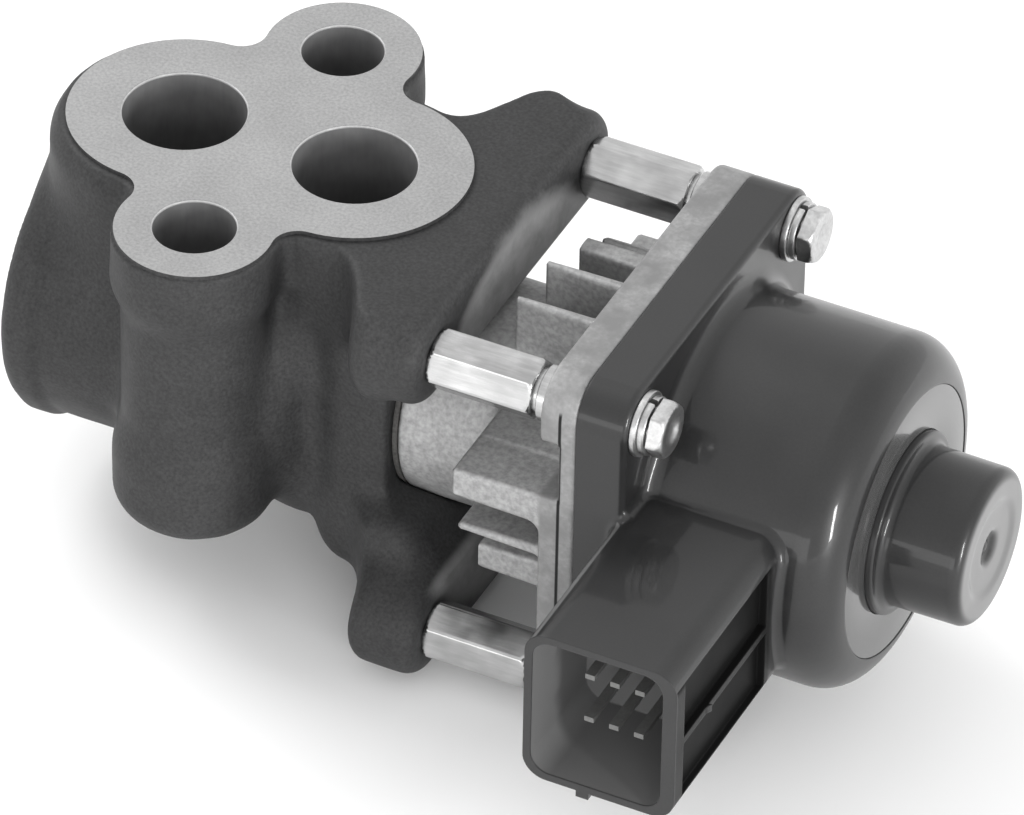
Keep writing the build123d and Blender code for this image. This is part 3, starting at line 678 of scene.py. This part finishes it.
# heat sink: plate, neck and drafted fins as one casting
sinkLook = dict(
    step=0.45, edge=0.55, draft=0.024, blend=1.6, half=25.4, corner=4.8, back=48.3, front=53.0,
    neckR=14.0, neckEnd=24.2, finEnd=37.0, finRoot=50.0, screwR=2.1)
uprightFins = [(-8.5, 1.6, 22.7), (-0.4, 1.6, 22.3), (9.5, 3.2, 18.3), (15.2, 1.8, 15.0)]  # y, width, reach
levelFins = [(6.8, 4.6, 25.4), (-1.2, 1.6, 23.6), (-9.8, 4.2, 18.0)]  # height over the axis, width, reach


def sinkField(x, y, z):
    # rounded plate, neck and fins that thin towards their ends, then pockets and bores
    look = sinkLook
    dz = z - axisZ
    ay, az = np.abs(y), np.abs(dz)
    square = rounded(ay - look["half"], az - look["half"], look["corner"])
    solid = rounded(square, span(x, look["back"], look["front"]), 0.45)
    neck = rounded(np.hypot(y, dz) - look["neckR"], span(x, look["neckEnd"], look["finRoot"]), 0.5)
    solid = blendIn(solid, neck, 2.0)
    away = look["draft"] * np.clip(look["back"] - x, 0.0, 12.0)
    length = span(x, look["finEnd"], look["finRoot"])
    for offset, width, reach in uprightFins:
        ends = np.maximum(span(dz, -min(reach, 15.5), reach), length)
        fin = rounded(np.abs(y - offset) - width / 2 + away, ends, look["edge"])
        solid = blendIn(solid, fin, look["blend"])
    for offset, width, reach in levelFins:
        fin = rounded(np.abs(dz - offset) - width / 2 + away, np.maximum(ay - reach, length), look["edge"])
        solid = blendIn(solid, fin, look["blend"])
    pocket = np.maximum(np.maximum(18.4 - ay, span(dz, 9.1, 17.15)), x - 50.7)
    solid = cutOut(solid, pocket, 0.7)
    solid = np.maximum(solid, np.maximum(ay - look["half"], az - look["half"]))
    bore = np.select([x < 27.2, x < 46.8], [5.5, 9.8], 7.6)
    solid = cutOut(solid, np.hypot(y, dz) - bore, 0.3)
    return cutOut(solid, np.hypot(ay - cornerHalf, az - cornerHalf) - look["screwR"], 0.3)


lowCorner = (23.3, -26.4, axisZ - 26.4)
highCorner = (53.9, 26.4, axisZ + 26.4)
points, quads, normals = skinOf(sinkField, lowCorner, highCorner, sinkLook["step"])
points[:, 0] = np.clip(points[:, 0], sinkLook["neckEnd"], sinkLook["front"])
castSink = makePiece("castSink", points, quads, [castAluminium], normals)
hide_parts("heat_sink")
print("heat sink:", len(quads), "quads")


# hexagon surfaces: r(a, s) = smaller of the hexagon and the turned outline
def hexSurface(stations, flats, y, z, turn, count=144):
    # stations are (x, turned radius, hexagon or not); the first and last have radius 0 and close the ends
    stations = np.asarray(stations, float)
    angle = np.linspace(0, 2 * np.pi, count, endpoint=False)
    local = (angle - math.radians(turn)) % (np.pi / 3) - np.pi / 6
    hexR = np.minimum(flats / 2 / np.cos(local), flats / 2 * 1.135)  # corners a little rounded off
    limit = np.where(stations[:, 2][:, None] > 0.5, hexR[None, :], 1e3)
    radius = np.minimum(stations[:, 1][:, None], limit)
    along = np.repeat(stations[:, 0][:, None], count, axis=1)
    points = np.stack([along, y + radius * np.cos(angle), z + radius * np.sin(angle)], axis=-1)
    return points.reshape(-1, 3), gridFaces(len(stations), count, False, True)


postLook = dict(flats=6.8, start=32.62, end=48.3, collar=1.9, turns=(12.0, 41.0, 25.0, 3.0))
posts = []
for (y, z), turn in zip(cornerPlaces, postLook["turns"]):
    start, end = postLook["start"], postLook["end"]
    far = end - postLook["collar"]
    foot = [(start, 0.0, 0), (start, 2.9, 0)]
    chamfer = [(start + 0.9 * t, 3.02 + 0.95 * math.sqrt(t), 1) for t in (0.0, 0.05, 0.15, 0.3, 0.5, 0.75, 1.0)]
    body = [(x, 9.0, 1) for x in np.linspace(start + 1.0, far - 0.9, 8)]
    neckIn = [(far - 0.8 * t, 3.1 + 0.85 * math.sqrt(t), 1) for t in (1.0, 0.7, 0.4, 0.2, 0.06, 0.0)]
    collar = [(far + 0.02, 2.85, 0), (far + 0.48, 2.85, 0), (far + 0.5, 3.2, 0), (far + 0.58, 3.4, 0)]
    collar += [(far + 0.72, 3.5, 0), (end - 0.25, 3.5, 0), (end - 0.1, 3.42, 0), (end, 3.25, 0), (end, 0.0, 0)]
    posts.append(hexSurface(foot + chamfer + body + neckIn + collar, postLook["flats"], y, z, turn))
points, quads = joined(posts)
hexPosts = makePiece("hexPosts", points, quads, [postSteel])
turnOutward(hexPosts)
addSharp(hexPosts, 28)
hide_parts("spacer_posts")
print("posts made")

# screws, split washers and plain washers on the motor flange
screwLook = dict(flats=6.4, under=61.0, top=63.2, shank=14.0, turns=(8.0, 34.0, 19.0, 50.0))
plainLook = dict(back=59.3, front=60.1, bore=2.05, rim=4.05, soft=0.18)
splitLook = dict(thick=0.86, bore=2.1, rim=3.6, soft=0.2, gapStart=96.5, gapEnd=443.5, rise=0.04, steps=90)
screws, splits, plains = [], [], []
for (y, z), turn in zip(cornerPlaces, screwLook["turns"]):
    under, top = screwLook["under"], screwLook["top"]
    tail = under - screwLook["shank"]
    shank = [(tail, 0.0, 0), (tail, 1.85, 0), (under, 1.95, 0), (under, 2.9, 0)]
    flats = [(under + 0.06, 3.05, 1), (under + 0.3, 9.0, 1), (top - 1.3, 9.0, 1)]
    cap = [(top - 0.75 * (1 - k) ** 2, 2.85 + 0.85 * (1 - k), 1) for k in (0.0, 0.2, 0.4, 0.6, 0.8, 1.0)]
    dish = [(top, 2.4, 0), (top, 2.0, 0), (top - 0.03, 1.75, 0), (top - 0.18, 1.45, 0)]
    dish += [(top - 0.38, 1.1, 0), (top - 0.48, 0.6, 0), (top - 0.5, 0.0, 0)]
    screws.append(hexSurface(shank + flats + cap + dish, screwLook["flats"], y, z, turn))
    back, front, bore, rim = (plainLook[key] for key in ("back", "front", "bore", "rim"))
    outline = softened([(back, bore), (front, bore), (front, rim), (back, rim)], plainLook["soft"], 4)
    plains.append(turnedRing(outline, y, z, 96))
    # split washer: the outline is carried round from one side of the gap, which points up, to the other
    thick, bore, rim, steps = (splitLook[key] for key in ("thick", "bore", "rim", "steps"))
    outline = softened([(0.0, bore), (thick, bore), (thick, rim), (0.0, rim)], splitLook["soft"], 4)
    sweep = np.radians(np.linspace(splitLook["gapStart"], splitLook["gapEnd"], steps))[:, None]
    along = front + outline[:, 0][None, :] + np.linspace(0.0, splitLook["rise"], steps)[:, None]
    radius = np.repeat(outline[:, 1][None, :], steps, axis=0)
    split = np.stack([along, y + radius * np.cos(sweep), z + radius * np.sin(sweep)], axis=-1)
    count = len(outline)
    last = (steps - 1) * count
    faces = gridFaces(steps, count, False, True) + [list(range(count)), list(range(last, last + count))]
    splits.append((split.reshape(-1, 3), faces))
for name, parts, node in (("hexScrews", screws, "motor_screws"), ("splitWashers", splits, "spring_washers"),
                          ("plainWashers", plains, "flat_washers")):
    points, quads = joined(parts)
    piece = makePiece(name, points, quads, [zincSteel])
    turnOutward(piece)
    addSharp(piece, 32)
    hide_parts(node)
print("fasteners made")

# return spring in the neck: p(t, b) = helix(t) + wire (cos b radial + sin b side)
springLook = dict(wire=0.7, radius=7.2, turns=5, travel=4.55, steps=241, around=16)
low, high = [np.array(corner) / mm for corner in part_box("return_spring")]
wire, coilR = springLook["wire"], springLook["radius"]
climb = high[0] - low[0] - 2 * wire
t = np.linspace(0.0, 1.0, springLook["steps"])
swing = 2 * np.pi * springLook["turns"] * t
zero = np.zeros_like(t)
radial = np.stack([zero, np.cos(swing), np.sin(swing)], axis=-1)
centre = coilR * radial + np.stack([low[0] + wire + climb * t, zero, zero + axisZ], axis=-1)
sweep = coilR * swing[-1]
tangent = np.stack([zero + climb, -sweep * np.sin(swing), sweep * np.cos(swing)], axis=-1)
tangent /= np.linalg.norm(tangent, axis=1, keepdims=True)
side = np.cross(tangent, radial)
b = np.linspace(0, 2 * np.pi, springLook["around"], endpoint=False)[None, :, None]
coil = centre[:, None] + wire * (np.cos(b) * radial[:, None] + np.sin(b) * side[:, None])
around = springLook["around"]
last = (springLook["steps"] - 1) * around
faces = gridFaces(springLook["steps"], around, False, True)
faces += [list(range(around)), list(range(last, last + around))]
coilSpring = makePiece("coilSpring", coil.reshape(-1, 3), faces, [hardSteel])
turnOutward(coilSpring)
addSharp(coilSpring, 50)
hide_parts("return_spring")
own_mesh(coilSpring)
print("return spring made")

# motor housing: a merged copy of the moulded shell up to its end face
motorLook = dict(end=84.29)
corners, facing = cadSurface("motor_housing")
kept = corners[:, :, 0].min(axis=1) < motorLook["end"]
points, faces, whole = mergedFaces(corners[kept])
mouldedShell = makePiece("mouldedShell", points, faces.tolist(), [blackPlastic])
mouldedShell.data.normals_split_custom_set(facing[kept][whole].reshape(-1, 3).tolist())
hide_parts("motor_housing")

# end boss: foot ring, fillet, rounded end with a shallow dish and a soft dimple, turned about the axis
bossLook = dict(
    root=83.6, footR=11.36, footEnd=84.85, footSoft=0.25, bossR=9.9, filletStart=85.12, filletR=0.9, taper=0.010,
    tip=95.5, rimR=1.5, dish=0.35, dimple=0.75)
angle = np.linspace(0.0, np.pi / 2, 9)
footR, footEnd, soft = bossLook["footR"], bossLook["footEnd"], bossLook["footSoft"]
foot = [(bossLook["root"], 0.0), (bossLook["root"], footR), (footEnd, footR)]
foot += [(footEnd + soft * math.sin(a), footR - soft * (1 - math.cos(a))) for a in angle[2::3]]
bossR, start, soft = bossLook["bossR"], bossLook["filletStart"], bossLook["filletR"]
fillet = [(start + soft * (1 - math.cos(a)), bossR + soft * (1 - math.sin(a))) for a in angle]
side = [(x, bossR - bossLook["taper"] * (x - 86.0)) for x in np.linspace(86.2, 93.9, 8)]
tip, soft = bossLook["tip"], bossLook["rimR"]
rim = [(tip - soft + soft * math.sin(a), bossR - 0.08 - soft * (1 - math.cos(a))) for a in angle]
radius = np.array([8.0, 7.4, 6.8, 6.5, 6.2, 5.9, 5.6, 5.2, 4.4, 3.4, 2.7, 2.4, 2.1, 1.8, 1.5, 1.2, 0.9, 0.5, 0])
depth = bossLook["dish"] * (ease(-radius, -6.7, -5.4) - ease(-radius, -1.0, 0.0))
depth += bossLook["dimple"] * ease(-radius, -2.6, -1.2)
profile = foot + fillet + side + rim + list(zip(tip - depth, radius))
points, quads = turnedRing(profile, 0, axisZ, 160)
endBoss = makePiece("endBoss", points, quads, [blackPlastic])
turnOutward(endBoss)
addSharp(endBoss, 45)
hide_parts("motor_housing")

# bare disc round the boss
discLook = dict(back=83.7, front=84.2, bore=11.42, rim=16.95, soft=0.12)
back, front, bore, rim = (discLook[key] for key in ("back", "front", "bore", "rim"))
outline = softened([(back, bore), (front, bore), (front, rim), (back, rim)], discLook["soft"], 4)
points, quads = turnedRing(outline, 0, axisZ, 160)
labelDisc = makePiece("labelDisc", points, quads, [greyDisc])
turnOutward(labelDisc)
addSharp(labelDisc, 40)
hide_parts("end_disc")
print("motor housing, boss and disc made")

# floor, light and camera
stageLook = dict(half=1.5, gap=0.0005, tone=0.93, rough=0.8, air=0.85)  # metres
paleFloor, _, floorShader, _ = newFinish("paleFloor")
floorShader.inputs["Base Color"].default_value = (*[stageLook["tone"]] * 3, 1.0)
floorShader.inputs["Roughness"].default_value = stageLook["rough"]
half = stageLook["half"]
floorZ = cadBox[0][2] - stageLook["gap"]
floorMesh = bpy.data.meshes.new("studioFloor")
rim = [(x * half, y * half, floorZ) for x, y in ((-1, -1), (1, -1), (1, 1), (-1, 1))]
floorMesh.from_pydata(rim, [], [(0, 1, 2, 3)])
floorMesh.materials.append(paleFloor)
floor = bpy.data.objects.new("studioFloor", floorMesh)
scene.collection.objects.link(floor)

world = bpy.data.worlds.new("studioAir")
world.use_nodes = True
scene.world = world
air = world.node_tree
air.nodes.clear()
airOut = air.nodes.new("ShaderNodeOutputWorld")
seen = air.nodes.new("ShaderNodeBackground")
seen.inputs["Color"].default_value = (1.0, 1.0, 1.0, 1.0)
lit = air.nodes.new("ShaderNodeBackground")
lit.inputs["Color"].default_value = (*[stageLook["air"]] * 3, 1.0)
path = air.nodes.new("ShaderNodeLightPath")
white = path.outputs["Is Camera Ray"]  # the eye, metal and glass see white air
for ray in ("Is Glossy Ray", "Is Transmission Ray"):
    more = air.nodes.new("ShaderNodeMath")
    more.operation = "MAXIMUM"
    air.links.new(white, more.inputs[0])
    air.links.new(path.outputs[ray], more.inputs[1])
    white = more.outputs["Value"]
airMix = air.nodes.new("ShaderNodeMixShader")
air.links.new(white, airMix.inputs["Fac"])
air.links.new(lit.outputs["Background"], airMix.inputs[1])
air.links.new(seen.outputs["Background"], airMix.inputs[2])
air.links.new(airMix.outputs["Shader"], airOut.inputs["Surface"])

lamps = [  # name, place, aim, width, height, watts, and whether gloss shows it
    ("keyPanel", (-0.66, 0.20, 0.64), (0.03, 0.0, -0.02), 0.5, 0.5, 5.0, True),
    ("endPanel", (0.70, 0.60, 0.20), (0.06, 0.0, -0.03), 0.35, 0.35, 2.4, False),
    ("endGlow", (0.70, 0.60, 0.20), (0.06, 0.0, -0.03), 0.35, 0.35, 1.0, True),
    ("sidePanel", (0.90, -0.42, 0.12), (0.08, -0.01, -0.025), 0.08, 0.30, 4.4, True),
    ("nearPanel", (0.55, -0.95, 0.30), (0.03, 0.0, -0.03), 0.8, 0.6, 6.0, False),
    ("lowPanel", (0.00, -1.00, 0.07), (0.02, 0.0, -0.035), 0.8, 0.3, 1.6, True)]
for name, place, aim, width, height, watts, inGloss in lamps:
    lamp = bpy.data.lights.new(name, "AREA")
    lamp.shape = "RECTANGLE"
    lamp.size = width
    lamp.size_y = height
    lamp.energy = watts
    holder = bpy.data.objects.new(name, lamp)
    scene.collection.objects.link(holder)
    holder.visible_glossy = inGloss  # the broad panels leave no patch on the plastic
    holder.location = place
    holder.rotation_euler = (Vector(aim) - Vector(place)).to_track_quat("-Z", "Y").to_euler()

shot = dict(
    azimuth=25.406, elevation=38.892, roll=1.177, distance=1.332, target=(0.03264, 0.0, -0.029166), lens=391.81)
lens = bpy.data.cameras.new("photoLens")
lens.lens = shot["lens"]
lens.sensor_width = 36.0
lens.clip_start = 0.05
lens.clip_end = 10.0
eye = bpy.data.objects.new("photoEye", lens)
scene.collection.objects.link(eye)
turn, rise = math.radians(shot["azimuth"]), math.radians(shot["elevation"])
back = Vector((math.sin(turn) * math.cos(rise), -math.cos(turn) * math.cos(rise), math.sin(rise)))
right = Vector((math.cos(turn), math.sin(turn), 0.0))
up = back.cross(right)
lean = math.radians(shot["roll"])
sideways = right * math.cos(lean) + up * math.sin(lean)
upward = up * math.cos(lean) - right * math.sin(lean)
stand = Matrix((sideways, upward, back)).transposed().to_4x4()
stand.translation = Vector(shot["target"]) + back * shot["distance"]
eye.matrix_world = stand
scene.camera = eye
scene.view_settings.view_transform = "Standard"
print("floor, light and camera ready")
